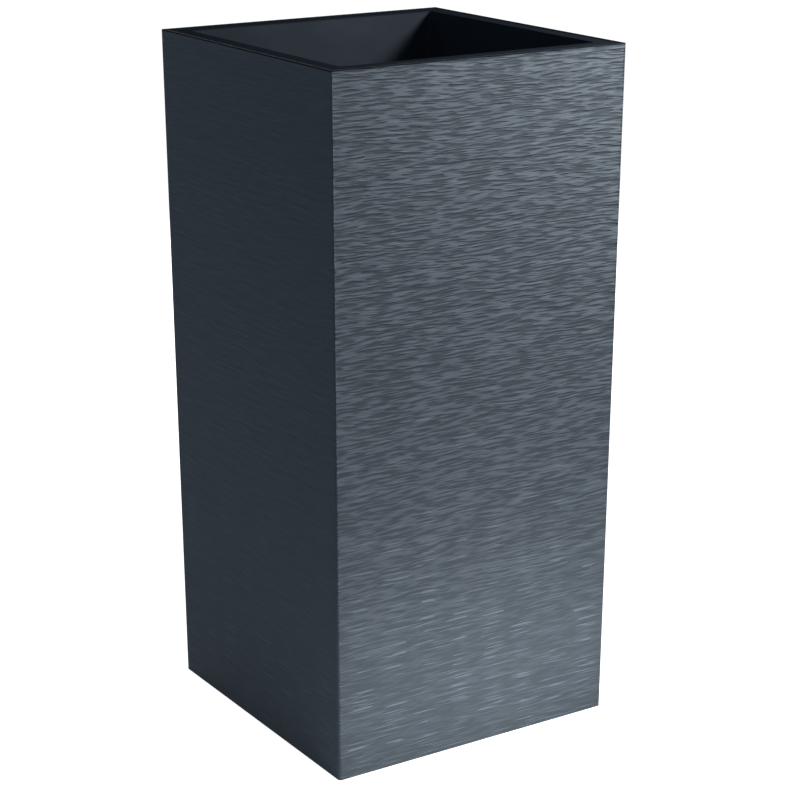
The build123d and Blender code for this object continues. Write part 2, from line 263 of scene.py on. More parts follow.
def lattice_noise(x, y, seed):
    """A smooth random height from -1 to 1. Each corner of a lattice with unit cells has a random value,
    and inside a cell the four values mix by 3t^2 - 2t^3 of the way across and of the way up."""
    column, row = np.floor(x).astype(int), np.floor(y).astype(int)
    across, up = x - column, y - row
    across, up = across * across * (3 - 2 * across), up * up * (3 - 2 * up)
    column, row = column - column.min(), row - row.min()
    values = np.random.default_rng(seed).uniform(-1, 1, (row.max() + 2, column.max() + 2))
    low = values[row, column] * (1 - across) + values[row, column + 1] * across
    high = values[row + 1, column] * (1 - across) + values[row + 1, column + 1] * across
    return low * (1 - up) + high * up


def stroke_relief(way, height):
    """Depth of the brushed surface under the flat wall, in metres: a fine lattice noise n of long, low
    cells, whose height is moved by a slow noise. With t = n / stroke_edge, cut off at -1 and 1, the
    shape 1.5t - 0.5t^3 makes the sides of a stroke steep and its back round. Below calm_height, a
    share of the whole height, the strokes get shallow and straight, down to calm_share."""
    slow = lattice_noise(way / sway_length, height / sway_pitch, sway_seeds[0])
    x, y = way / (fine_length * sway_length), height / (fine_pitch * sway_pitch)
    sway = sway_reach * slow + fine_share * sway_reach * lattice_noise(x, y, sway_seeds[1])
    strength = calm_share + (1 - calm_share) * np.clip(height / case_height / calm_height, 0, 1)
    moved = height + sway * strength
    long_strokes = lattice_noise(way / stroke_length, moved / stroke_pitch, stroke_seeds[0])
    x, y = way / (short_length * stroke_length), moved / (short_pitch * stroke_pitch)
    short_strokes = lattice_noise(x, y, stroke_seeds[1])
    t = np.clip((long_share * long_strokes + short_share * short_strokes) / stroke_edge, -1, 1)
    return -stroke_depth * strength * (0.5 - 0.25 * (3 * t - t**3))


# %% [markdown]
# The rows of the case climb the outside in small steps, so that the mesh can carry the strokes. They turn
# over the rounded top edge and run down the inside, where a few rows are enough. The relief fades out
# next to the round edges, which stay straight.

# %% Case mesh
case_wall = 4.0 * mm
case_base_radius = 4.0 * mm
case_top_radius = 1.6 * mm
case_inner_radius = 2.0 * mm
top_edge_radius = 0.7 * mm
foot_height = 6.0 * mm
foot_band = 14.0 * mm
floor_top = 10.0 * mm
relief_row = 1.42 * mm
relief_margin = 3.0 * mm
inner_step, inner_rows = 20.0 * mm, 12
edge_steps = 4


def outer_half(height):
    """Half the outside width at a height: the walls lean out evenly from the base to the top."""
    return case_base_half + (case_top_half - case_base_half) * height / case_height


def outer_radius(height):
    """Corner radius outside: it gets smaller evenly from the base to the top."""
    return case_base_radius + (case_top_radius - case_base_radius) * height / case_height


def case_rows():
    """Half width, height, corner radius and share of the relief for each row, from the foot up the
    outside, over the top edge and down the inside to the floor."""
    rim, inside = top_edge_radius, np.linspace(case_height - inner_step, floor_top, inner_rows)
    wall = np.arange(rim, case_height - rim, relief_row)
    wall = np.append(wall, case_height - rim)
    fade = np.clip(np.minimum(wall - rim, case_height - rim - wall) / relief_margin, 0, 1)
    turn = np.radians(np.linspace(0, 90, edge_steps + 1))
    foot = np.full(2, case_base_half - foot_band)
    inner = case_top_half - case_wall
    blocks = [
        (foot, np.array([foot_height, 0]), np.full(2, case_inner_radius), 0),
        (
            outer_half(0) - rim * (1 - np.sin(turn[:-1])),
            rim * (1 - np.cos(turn[:-1])),
            np.full(edge_steps, case_base_radius - rim),
            0,
        ),
        (outer_half(wall), wall, outer_radius(wall), fade),
        (
            case_top_half - rim * (1 - np.cos(turn[1:])),
            case_height - rim * (1 - np.sin(turn[1:])),
            case_top_radius - rim * (1 - np.cos(turn[1:])),
            0,
        ),
        (
            inner + rim * (1 - np.sin(turn)),
            case_height - rim * (1 - np.cos(turn)),
            case_inner_radius + rim * (1 - np.sin(turn)),
            0,
        ),
        (
            outer_half(inside) - case_wall,
            inside,
            np.full(inner_rows, case_inner_radius),
            0,
        ),
    ]
    return [
        np.concatenate([np.broadcast_to(block[part], len(block[0])) for block in blocks])
        for part in range(len(blocks[0]))
    ]


halves, heights, radii, relief_share = case_rows()
flatness = np.abs(case_columns[1]).round(9)
column_share = (flatness[:, 1] == 1) + side_share * (flatness[:, 0] == 1)
relief = stroke_relief(*np.meshgrid(case_columns[2], heights))
relief = relief * relief_share[:, None] * column_share[None, :]
slopes = np.diff(relief, axis=0)[:, flatness[:, 1] == 1] / np.diff(heights)[:, None].clip(0.1 * mm)
print("slope of the strokes, standard deviation:", round(float(slopes.std()), 3))
case_grid = square_rings(halves, heights, radii, case_columns, relief)
print("rows and columns:", case_grid.shape[:2], "deepest stroke:", round(relief.min() / mm, 2), "mm")

# %% [markdown]
# The two floors of the case are flat plates with holes, which a grid can't give. Blender's triangle
# fill takes the outline of a plate and the outlines of its holes, and works out the triangles between
# them.

# %% Plates with holes
hole_columns = 40


def circle(radius, place, height):
    """Points of a level circle, counter-clockwise: place + radius * (cos a, sin a)."""
    a = np.linspace(0, 2 * math.pi, hole_columns, endpoint=False)
    x, y = place[0] + radius * np.cos(a), place[1] + radius * np.sin(a)
    return np.stack([x, y, np.full_like(a, height)], -1)


def plate_faces(loops):
    """Triangles that fill the flat plate between an outline and its holes, as point numbers, facing up.
    The points of the loops count on from one loop to the next."""
    shape = bmesh.new()
    for loop in loops:
        ring = [shape.verts.new(point) for point in loop]
        for first, second in zip(ring, ring[1:] + ring[:1]):
            shape.edges.new((first, second))
    bmesh.ops.triangle_fill(shape, use_beauty=True, edges=shape.edges[:], normal=(0, 0, 1))
    shape.verts.index_update()
    faces = np.array([[vert.index for vert in face.verts] for face in shape.faces])
    points = np.concatenate(loops)
    a, b, c = (points[faces[:, k]] for k in range(3))
    down = np.cross(b - a, c - a)[:, 2] < 0
    faces[down] = faces[down][:, ::-1]
    shape.free()
    return faces


def grid_with_plates(name, grid, holes, low, high):
    """A closed piece: a grid of rings, whose last ring is closed by a plate at height high that faces
    up, and whose first ring is closed by one at height low that faces down. Each hole (radius, place)
    goes through both."""
    rows, columns = grid.shape[:2]
    upper = [circle(radius, place, high) for radius, place in holes]
    lower = [circle(radius, place, low) for radius, place in holes]
    count, ring = rows * columns, np.arange(columns)
    hole_numbers = np.arange(len(holes) * hole_columns)
    upper_numbers = np.concatenate([count - columns + ring, count + hole_numbers])
    lower_numbers = np.concatenate([ring, count + len(hole_numbers) + hole_numbers])
    faces = [grid_faces(rows, columns)]
    faces.append(upper_numbers[plate_faces([grid[-1], *upper])])
    faces.append(lower_numbers[plate_faces([grid[0], *lower])][:, ::-1])
    step = np.arange(hole_columns)
    for number in range(len(holes)):
        first = count + number * hole_columns
        second = first + len(hole_numbers)
        following = (step + 1) % hole_columns
        wall = [first + following, second + following, second + step, first + step]
        faces.append(np.stack(wall, -1))
    return mesh_object(name, np.concatenate([grid.reshape(-1, 3), *upper, *lower]), faces)


# %% Build the case
drain_radius = 6.0 * mm
drain_offset = 95.0 * mm
plug_hole_radius = 10.0 * mm

drain_ends = (-drain_offset, drain_offset)
case_holes = [(drain_radius, (x, y)) for x in drain_ends for y in drain_ends]
case_holes.append((plug_hole_radius, (0.0, 0.0)))
case = grid_with_plates("case_shell", case_grid, case_holes, foot_height, floor_top)
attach(case, "case")
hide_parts("outer_case")
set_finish(case, "case_plastic")
print("case triangles:", len(case.data.loops) - 2 * len(case.data.polygons))

# %% [markdown]
# Inside the case, eight upright ribs stiffen the walls and carry the lip of the tub. A rib is a bar
# whose cross section stays the same, so its outline is drawn up from the floor. Only its outer end
# leans out with the wall.

# %% Ribs of the case
rib_face = 174.0 * mm
rib_thickness = 3.0 * mm
rib_spacing = 220.0 * mm
rib_top = 785.1 * mm
rib_edge = 0.8 * mm
rib_rows = 9


def drawn_up(rings):
    """Points and faces of a solid whose rows are rings, from the lowest up, with one flat face at each
    end."""
    rows, columns = rings.shape[:2]
    ring = np.arange(columns)[None]
    faces = [grid_faces(rows, columns), ring[:, ::-1], ring + (rows - 1) * columns]
    return rings.reshape(-1, 3), faces


def rib(quarter, end):
    """A rib at one end of one wall: the section (x, y), with x stretched to reach the middle of the
    wall at each height, is turned by that many quarters."""
    half, length = rib_thickness / 2, case_top_half - rib_face
    corners = [(length, -half), (length, half), (0, half), (0, -half)]
    section = rounded_profile(corners, (0, 0, rib_edge, rib_edge), closed=True)
    height = np.linspace(floor_top, rib_top, rib_rows)[:, None]
    x = rib_face + section[:, 0] / length * (outer_half(height) - case_wall / 2 - rib_face)
    y = np.broadcast_to(section[:, 1] + end * rib_spacing / 2, x.shape)
    cos, sin = round(math.cos(math.pi / 2 * quarter)), round(math.sin(math.pi / 2 * quarter))
    turned_x, turned_y = x * cos - y * sin, x * sin + y * cos
    return drawn_up(np.stack([turned_x, turned_y, np.broadcast_to(height, x.shape)], -1))


made_pieces = [case]
sharp_edge = 30


def piece_of(name, solids, body, slot, node):
    """One piece made of closed solids, which rides on its body and stands for that plain part."""
    points, faces, first = [], [], 0
    for solid_points, solid_faces in solids:
        points.append(solid_points)
        faces += [block + first for block in solid_faces]
        first += len(solid_points)
    piece = mesh_object(name, np.concatenate(points), faces, sharp_edge)
    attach(piece, body)
    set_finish(piece, slot)
    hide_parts(node)
    made_pieces.append(piece)
    print(name, "has", len(piece.data.polygons), "faces")


ribs = [rib(quarter, end) for quarter in range(4) for end in (-1, 1)]
piece_of("case_ribs", ribs, "case", "case_plastic", "outer_case")

# %% [markdown]
# The fittings inside are round: pipes, caps, a float, plugs and washers. Each is a profile, a line of
# radii and heights, turned about an upright axis. Where the profile begins and ends on the axis, the
# surface closes there in a pole, and otherwise its last point joins its first. A ripple on some of its
# points gives a cap its grip.

# %% Turned pieces
ripple_reach = 0.2 * mm


def turned(corners, radii, place, columns=72, ripples=0, ripple_depth=0.0):
    """Points and faces of a turned solid: x = r cos a, y = r sin a for each point (r, z) of a profile
    with round edges. With ripples, the widest points have r - depth * (1 - cos(ripples * a)) / 2
    instead."""
    on_axis = corners[0][0] == 0
    r, z = rounded_profile(corners, radii, closed=not on_axis).T
    inner = slice(1, -1) if on_axis else slice(None)
    r, z = r[inner, None], z[inner, None]
    a = np.linspace(0, 2 * math.pi, columns, endpoint=False)
    widest = r > r.max() - ripple_reach
    r = r - widest * ripple_depth * (1 - np.cos(ripples * a)) / 2
    x, y = place[0] + r * np.cos(a), place[1] + r * np.sin(a)
    rings = np.stack([x, y, np.broadcast_to(z, r.shape)], -1)
    rows = len(rings)
    if not on_axis:
        return rings.reshape(-1, 3), [grid_faces(rows, columns, closed_rows=True)]
    poles = [(place[0], place[1], corners[0][1]), (place[0], place[1], corners[-1][1])]
    ring, top = np.arange(columns), (rows - 1) * columns
    after = (ring + 1) % columns
    low_fan = np.stack([np.full(columns, rows * columns), after, ring], -1)
    high_fan = np.stack([np.full(columns, rows * columns + 1), top + ring, top + after], -1)
    return np.concatenate([rings.reshape(-1, 3), poles]), [grid_faces(rows, columns), low_fan, high_fan]


def millimetres(*pairs):
    """Pairs of millimetres as pairs of metres."""
    return [(r * mm, z * mm) for r, z in pairs]


def axis_of(node):
    """Where the upright axis of a round plain part stands."""
    low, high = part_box(node)
    return ((low.x + high.x) / 2, (low.y + high.y) / 2)


def ends_of(node):
    """The lowest and highest level of a plain part, in millimetres."""
    low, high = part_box(node)
    return low.z / mm, high.z / mm


# %% Fill tube and its cap
grid_top = ends_of("reservoir_grid")[1]
collar_width, collar_height = 4.0, 4.0
pipe_radius, pipe_bore = 18.0, 15.8
pipe_foot, pipe_top = ends_of("fill_tube")
pipe_corners = millimetres(
    (pipe_radius, pipe_foot),
    (pipe_radius, grid_top),
    (pipe_radius + collar_width, grid_top),
    (pipe_radius + collar_width, grid_top + collar_height),
    (pipe_radius, grid_top + collar_height),
    (pipe_radius, pipe_top),
    (pipe_bore, pipe_top),
    (pipe_bore, pipe_foot),
)
pipe_edges = np.array([0.5, 0.2, 0.4, 0.8, 1.2, 0.9, 0.9, 0.4]) * mm
pipe = turned(pipe_corners, pipe_edges, axis_of("fill_tube"))
piece_of("filling_pipe", [pipe], "grid", "tube_plastic", "fill_tube")

cap_inner, cap_outer, cap_roof, cap_skirt = 18.3, 20.1, 1.8, 9.0
knob_neck, knob_radius, knob_height = 4.6, 6.0, 7.0
cap_top = ends_of("fill_tube_cap")[1] - knob_height
cap_corners = millimetres(
    (0, cap_top - cap_roof),
    (cap_inner, cap_top - cap_roof),
    (cap_inner, cap_top - cap_skirt),
    (cap_outer, cap_top - cap_skirt),
    (cap_outer, cap_top),
    (knob_neck, cap_top),
    (knob_neck, cap_top + 0.45 * knob_height),
    (knob_radius, cap_top + 0.6 * knob_height),
    (knob_radius, cap_top + knob_height),
    (0, cap_top + knob_height),
)
cap_edges = np.array([0, 0.5, 0.4, 0.4, 0.9, 1.2, 0.4, 0.5, 1.5, 0]) * mm
cap_place, grip_ripples = axis_of("fill_tube_cap"), 28
grip = {"columns": 6 * grip_ripples, "ripples": grip_ripples, "ripple_depth": 0.5 * mm}
cap = turned(cap_corners, cap_edges, cap_place, **grip)
piece_of("filling_cap", [cap], "fill_cap", "tube_plastic", "fill_tube_cap")

# %% Level indicator
gauge_radius, gauge_wall, gauge_ledge, guide_radius = 13.0, 1.8, 3.0, 2.3
gauge_bore = gauge_radius - gauge_wall
gauge_foot, gauge_top = ends_of("level_indicator_tube")
gauge_corners = millimetres(
    (gauge_radius, gauge_foot),
    (gauge_radius, grid_top),
    (gauge_radius + collar_width, grid_top),
    (gauge_radius + collar_width, grid_top + collar_height),
    (gauge_radius, grid_top + collar_height),
    (gauge_radius, gauge_top),
    (guide_radius, gauge_top),
    (guide_radius, gauge_top - gauge_wall),
    (gauge_bore, gauge_top - gauge_wall),
    (gauge_bore, gauge_foot + gauge_wall),
    (gauge_bore - gauge_ledge, gauge_foot + gauge_wall),
    (gauge_bore - gauge_ledge, gauge_foot),
)
gauge_edges = np.array([0.5, 0.2, 0.4, 0.8, 1.2, 0.5, 0.3, 0.3, 0.4, 0.4, 0.3, 0.3]) * mm
gauge_place = axis_of("level_indicator_tube")
gauge = turned(gauge_corners, gauge_edges, gauge_place)
piece_of("gauge_tube", [gauge], "grid", "tube_plastic", "level_indicator_tube")

dome_inner, dome_wall, dome_head = 13.05, 1.5, 11.25
dome_foot, dome_top = ends_of("level_indicator_dome")
dome_corners = millimetres(
    (0, dome_top - dome_wall),
    (dome_head, dome_top - dome_wall),
    (dome_head, gauge_top),
    (dome_inner, gauge_top),
    (dome_inner, dome_foot),
    (dome_inner + dome_wall, dome_foot),
    (dome_inner + dome_wall, dome_top),
    (0, dome_top),
)
dome_edges = np.array([0, 4.8, 0.3, 0.3, 0.3, 0.4, 4.8, 0]) * mm
dome = turned(dome_corners, dome_edges, gauge_place)
piece_of("gauge_dome", [dome], "grid", "clear_plastic", "level_indicator_dome")

float_radius, rod_radius, socket_depth = 10.0, 2.0, 12.0
float_low, float_high = ends_of("level_float")
float_corners = millimetres(
    (0, float_low),
    (float_radius, float_low),
    (float_radius, float_high),
    (rod_radius, float_high),
    (rod_radius, float_high - socket_depth),
    (0, float_high - socket_depth),
)
float_edges = np.array([0, 2.0, 2.0, 0.2, 0.2, 0]) * mm
float_body = turned(float_corners, float_edges, gauge_place)
piece_of("gauge_float", [float_body], "float", "float_plastic", "level_float")

marker_radius, marker_height = 6.0, 7.0
rod_low, marker_top = ends_of("level_indicator_rod")
rod_corners = millimetres(
    (0, rod_low),
    (rod_radius, rod_low),
    (rod_radius, marker_top - marker_height),
    (marker_radius, marker_top - marker_height),
    (marker_radius, marker_top),
    (0, marker_top),
)
rod_edges = np.array([0, 0.5, 0.5, 0.5, 2.0, 0]) * mm
marker = turned(rod_corners, rod_edges, gauge_place)
piece_of("gauge_marker", [marker], "float", "marker_plastic", "level_indicator_rod")

# %% [markdown]
# A drain plug is a short stem under a wide head, with a bar to pull it by. The bar is a ring of
# straight and round stretches drawn up, whose last rings shrink along a quarter circle, so that its top
# edge is round.

# %% Drain plugs and their washers
stem_radius, head_radius, head_height = 9.7, 17.0, 4.0
bar_half_length, bar_half_width, bar_edge = 12.0, 3.0, 2.0
bar_columns = 48
washer_outer, washer_inner = 15.5, 9.8
washer_edge = 0.6 * mm


def pull_bar(base, top):
    """The bar of a plug: a level rectangle with round ends, drawn up. Near the top it rises by e sin t
    and shrinks by e - e cos t, where e is bar_edge."""
    t = np.radians(np.linspace(0, 80, 6))
    shrink = np.concatenate([[0], bar_edge * (1 - np.cos(t))])[:, None]
    heights = np.concatenate([[base], top - bar_edge + bar_edge * np.sin(t)])[:, None]
    a = np.linspace(0, 2 * math.pi, bar_columns, endpoint=False) + math.pi / bar_columns
    reach = bar_half_length - bar_half_width
    x = np.sign(np.cos(a)) * reach + (bar_half_width - shrink) * np.cos(a)
    y = (bar_half_width - shrink) * np.sin(a)
    return drawn_up(np.stack([x, y, np.broadcast_to(heights, x.shape)], -1) * mm)


def drain_plug(name, body, plug_node, seal_node):
    """A plug with its bar, and its washer, at the places of the plain parts they stand for."""
    low, high = ends_of(plug_node)
    seal_low, seal_high = ends_of(seal_node)
    head_top = seal_high + head_height
    corners = millimetres(
        (0, low),
        (stem_radius, low),
        (stem_radius, seal_high),
        (head_radius, seal_high),
        (head_radius, head_top),
        (0, head_top),
    )
    edges = np.array([0, 1.2, 0.3, 0.6, 1.0, 0]) * mm
    solids = [turned(corners, edges, axis_of(plug_node)), pull_bar(head_top - bar_edge, high)]
    piece_of(name + "_plug", solids, body, "tube_plastic", plug_node)
    ring = millimetres(
        (washer_outer, seal_low),
        (washer_outer, seal_high),
        (washer_inner, seal_high),
        (washer_inner, seal_low),
    )
    washer = turned(ring, [washer_edge] * 4, axis_of(seal_node))
    piece_of(name + "_washer", [washer], body, "seal_rubber", seal_node)


drain_plug("case_outlet", "case_plug", "case_drain_plug", "case_drain_seal")
drain_plug("tub_outlet", "insert_plug", "insert_drain_plug", "insert_drain_seal")

# %% [markdown]
# Shader maths is easier to read as sums than as a tangle of nodes. A small class wraps one output of a
# node, and each sign written between two of them adds a Math node. One method makes every other kind of
# node.

# %% Shader helpers


class Wire:
    """One output of a shader node. A sum written with it adds Math nodes to the same tree."""

    def __init__(self, tree, socket):
        self.tree = tree
        self.socket = socket

    def math(self, operation, *values, clamp=False):
        settings = {"operation": operation, "use_clamp": clamp}
        return self.tree.node("ShaderNodeMath", settings, dict(enumerate(values)))

    def __add__(self, other):
        return self.math("ADD", self, other)

    def __sub__(self, other):
        return self.math("SUBTRACT", self, other)

    def __rsub__(self, other):
        return self.math("SUBTRACT", other, self)

    def __mul__(self, other):
        return self.math("MULTIPLY", self, other)

    def between(self, low, high):
        """0 up to low, 1 from high on, and a smooth rise in between."""
        settings = {"interpolation_type": "SMOOTHSTEP"}
        return self.tree.node("ShaderNodeMapRange", settings, {0: self, 1: low, 2: high})

    __radd__ = __add__


class Tree:
    """The nodes of one material or of the world, emptied so that it holds only what is written here."""

    def __init__(self, owner):
        owner.use_nodes = True
        self.nodes = owner.node_tree.nodes
        self.links = owner.node_tree.links
        self.nodes.clear()

    def node(self, kind, settings=None, inputs=None, output=0):
        """A node of that kind. Its settings are set first, a ramp's stops among them, and then the
        values or links of its sockets, by name or number."""
        node = self.nodes.new(kind)
        for name, value in (settings or {}).items():
            if name == "stops":
                for stop in value[len(node.color_ramp.elements):]:
                    node.color_ramp.elements.new(stop[0])
                for element, (position, colour) in zip(node.color_ramp.elements, value):
                    element.position = position
                    element.color = colour
            else:
                setattr(node, name, value)
        for name, value in (inputs or {}).items():
            if isinstance(value, Wire):
                self.links.new(value.socket, node.inputs[name])
            else:
                node.inputs[name].default_value = value
        return Wire(self, node.outputs[output]) if node.outputs else None

    def place(self):
        """The point on the surface, in metres, in the part's own frame."""
        return self.node("ShaderNodeTexCoord", output="Object")

    def parts(self, point):
        """The x, y and z of a point, as three wires."""
        return [self.node("ShaderNodeSeparateXYZ", None, {0: point}, output=axis) for axis in "XYZ"]

    def stretched(self, point, sizes):
        """The point divided by three sizes, so that one unit is that long along x, y and z."""
        scale = tuple(1 / size for size in sizes)
        inputs = {"Vector": point, "Scale": scale}
        return self.node("ShaderNodeMapping", {"vector_type": "POINT"}, inputs)

    def noise(self, point, detail):
        """Noise from 0 to 1 with cells of about one unit."""
        inputs = {"Vector": point, "Scale": 1.0, "Detail": detail, "Roughness": 0.5}
        return self.node("ShaderNodeTexNoise", {"normalize": True}, inputs)

    def bump(self, height, distance):
        """A normal that leans as if the surface rose by that distance where the height is 1."""
        inputs = {"Height": height, "Distance": distance, "Strength": 1.0}
        return self.node("ShaderNodeBump", None, inputs)

    def colour_mix(self, share, first, second):
        """The first colour where the share is 0 and the second where it is 1."""
        inputs = {0: share, 6: first, 7: second}
        return self.node("ShaderNodeMix", {"data_type": "RGBA"}, inputs, output=2)


def finish(name, build):
    """A new material, whose Principled shader gets what the function build makes of its tree."""
    material = bpy.data.materials.new(name)
    tree = Tree(material)
    shader = tree.node("ShaderNodeBsdfPrincipled", None, build(tree))
    tree.node("ShaderNodeOutputMaterial", None, {"Surface": shader})
    return material


print("shader helpers ready")

# %% [markdown]
# The case is dyed all through in one dark blue grey. The eye reads the strokes from the light on their
# slopes, and from painted highlight on their backs and painted shade in their grooves. The strokes
# that the mesh is too coarse to hold are a bump. The front and back faces take the full pattern and the
# sides a softer one, as the photograph shows it, with weaker painted highlight and shade. Towards the
# base the strokes thin out into short dashes, whose painted highlights grow brighter there, and painted
# light from the floor lifts the tone a little. The top edge is painted near black, as painted shade.

# %% Case finish
case_colour = (0.0665, 0.0780, 0.0905)
# painted shade: the top edge, which faces up into little light, is near black
top_shade_colour = (0.010, 0.013, 0.017)
# factors for the painted shade in the grooves and the painted highlight on the stroke backs
darkest, lightest = 0.72, 1.6
sway_cell = (110 * mm, 110 * mm, 40 * mm)
stroke_cell = (24 * mm, 24 * mm, 2.5 * mm)
dash_cell = (45 * mm, 45 * mm, 1.4 * mm)
patch_cell = (90 * mm, 90 * mm, 50 * mm)
low_band = (60 * mm, 420 * mm)
sway_lift = 9 * mm
ridge_band, dash_band = (0.36, 0.62), (0.61, 0.655)
bump_depth = 1.3 * mm
side_tone = 0.1


def shade(colour, factor):
    """The same colour, lighter or darker by that factor, as a shader takes it."""
    return tuple(factor * channel for channel in colour) + (1.0,)


def case_plastic(tree):
    """Strokes, dashes and patches are three noises. The tone is their weighted sum, and the bump the
    sum of the first two. Both fade to side_tone on the faces to the left and right. low_down is 1 at
    the base and 0 above the band. In the tone, strokes and dashes are painted highlight on their backs
    and painted shade in their grooves, and the lift by low_down is painted light from the floor; the
    patches are the plastic's own drift. The top edge takes a painted shade colour."""
    point = tree.place()
    x, y, z = tree.parts(point)
    faces_front = (y.math("ABSOLUTE", y) - x.math("ABSOLUTE", x)).between(-1 * mm, 1 * mm)
    strength = side_tone + faces_front * (1 - side_tone)
    low_down = 1.0 - z.between(*low_band)
    sway = tree.noise(tree.stretched(point, sway_cell), detail=1.0)
    rise = (sway - 0.5) * (1.0 - low_down * 0.8) * sway_lift
    lift = tree.node("ShaderNodeCombineXYZ", None, {"Z": rise})
    moved = tree.node("ShaderNodeVectorMath", {"operation": "ADD"}, {0: point, 1: lift})
    strokes = tree.noise(tree.stretched(moved, stroke_cell), detail=1.0)
    dashes = tree.noise(tree.stretched(moved, dash_cell), detail=0.0)
    patches = tree.noise(tree.stretched(point, patch_cell), detail=3.0)
    ridges = strokes.between(*ridge_band)
    lines = dashes.between(*dash_band) * (0.6 + low_down * 0.4)
    # painted highlight: stroke backs and dashes lighter, the dashes more so near the base
    tone = ridges * (0.5 - low_down * 0.3) + lines * (0.5 + low_down * 0.7)
    # painted light: low_down lifts the tone at the base as floor light would; the patches are the
    # plastic's own drift
    tone = tone + patches * 0.25 + low_down * 0.02
    share = (0.35 + (tone - 0.35) * strength).between(0.05, 1.0)
    # painted highlight and painted shade of the strokes, mixed into the base colour
    painted_stroke_light = tree.colour_mix(share, shade(case_colour, darkest), shade(case_colour, lightest))
    relief = (ridges * (0.8 - low_down * 0.6) + lines * 0.5) * strength
    # painted shade on the top edge
    top = z.between(case_height - 2 * mm, case_height - 0.8 * mm)
    return {
        "Base Color": tree.colour_mix(top, painted_stroke_light, shade(top_shade_colour, 1.0)),
        "Roughness": 0.46 - lines * 0.12 + top * 0.45,
        "Specular IOR Level": 0.01,
        "Normal": tree.bump(relief, bump_depth),
    }


case_material = finish("case_plastic", case_plastic)

# %% [markdown]
# The tub and its fittings are moulded too. Each has its own dark tone, a grain of its own size, and
# slow patches where the tone drifts, so one function writes such a finish from those few numbers. On
# the tub, the flat lip takes a darker colour than the walls below it: painted shade on the upward face.

# %% Finishes of the moulded parts
lip_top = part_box("planting_insert")[1].z
tone_cell = (60 * mm, 60 * mm, 40 * mm)
haze_cell = (8 * mm, 8 * mm, 8 * mm)


def moulded(colour, grain_size, roughness, gloss, top=None, drift=0.12, depth=0.05 * mm):
    """A function that builds a moulded finish: the colour drifts up and down by a share, and a grain of
    that size and depth roughens it. A top (height, colour) gives all that lies above the height its own
    colour, which is painted shade where it is used, on the lip of the tub."""

    def build(tree):
        point = tree.place()
        grain = tree.noise(tree.stretched(point, (grain_size,) * 3), detail=2.0)
        patches = tree.noise(tree.stretched(point, tone_cell), detail=3.0)
        tone = patches * 0.8 + grain * 0.2
        dark, light = shade(colour, 1 - drift), shade(colour, 1 + drift)
        mixed = tree.colour_mix(tone.between(0.3, 0.7), dark, light)
        if top:
            z = tree.parts(point)[2]
            # painted shade: the upward lip is darker than the walls
            above = z.between(top[0] - 2 * mm, top[0] - 0.5 * mm)
            mixed = tree.colour_mix(above, mixed, shade(top[1], 1.0))
        return {
            "Base Color": mixed,
            "Roughness": roughness + (grain - 0.5) * 0.1,
            "Specular IOR Level": gloss,
            "Normal": tree.bump(grain, depth),
        }

    return build


def clear_plastic(tree):
    """Clear plastic with a faint haze, which drifts in tone and in roughness."""
    haze = tree.noise(tree.stretched(tree.place(), haze_cell), detail=3.0)
    return {
        "Base Color": tree.colour_mix(haze, (0.90, 0.94, 0.94, 1.0), (0.97, 0.99, 0.99, 1.0)),
        "Roughness": haze * 0.08,
        "Transmission Weight": 1.0,
        "IOR": 1.49,
    }


# painted shade on the upward lip of the tub
lip_shade_colour = (0.0105, 0.0140, 0.0185)
finishes = {
    "tub_plastic": moulded((0.0205, 0.0255, 0.0325), 0.9 * mm, 0.5, 0.0, (lip_top, lip_shade_colour)),
    "handle_plastic": moulded((0.034, 0.038, 0.043), 0.5 * mm, 0.42, 0.2),
    "grid_plastic": moulded((0.028, 0.031, 0.034), 0.7 * mm, 0.5, 0.15),
    "tube_plastic": moulded((0.032, 0.036, 0.040), 0.4 * mm, 0.35, 0.25, depth=0.02 * mm),
    "clear_plastic": clear_plastic,
    "float_plastic": moulded((0.70, 0.70, 0.66), 0.6 * mm, 0.6, 0.3, drift=0.04, depth=0.1 * mm),
    "marker_plastic": moulded((0.55, 0.035, 0.02), 0.5 * mm, 0.2, 0.5, drift=0.06, depth=0.01 * mm),
    "seal_rubber": moulded((0.012, 0.012, 0.012), 0.3 * mm, 0.75, 0.2, drift=0.2),
}
materials = {name: finish(name, build) for name, build in finishes.items()}
materials["case_plastic"] = case_material

# %% [markdown]
# Each plain part has a slot in the record, which names its finish. The new pieces carry the same names.

# %% Give every part its finish
plain_slots = {part["node"]: part["material_slot"] for part in frame["record"]["subparts"]}
for name, node in frame["nodes"].items():
    node.data.materials.clear()
    node.data.materials.append(materials[plain_slots[name]])
for piece in made_pieces:
    piece.data.materials.append(materials[piece["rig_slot"]])
print("finishes:", ", ".join(materials))

# %% [markdown]
# The planter stands on a plain white floor that runs on to the horizon, and the world behind it is
# white too. Light Path tells which ray is asking: rays from the camera, and rays that mirror or pass
# through a surface, see plain white, while the light that falls on the planter stays soft and low. The
# floor still darkens under and behind it.

# %% Floor
floor_reach = 12.0
white = (1.0, 1.0, 1.0, 1.0)
lit_colour = (0.70, 0.80, 0.90, 1.0)
shaded_colour = (0.5, 0.5, 0.5, 1.0)
glow_strength = 0.96


def sees_backdrop(tree):
    """1 for rays from the camera, and for those that glossy and clear surfaces send on, and 0 for the
    others."""
    kinds = ("Camera", "Glossy", "Transmission")
    rays = [tree.node("ShaderNodeLightPath", output=f"Is {kind} Ray") for kind in kinds]
    return rays[0].math("ADD", rays[0] + rays[1], rays[2], clamp=True)


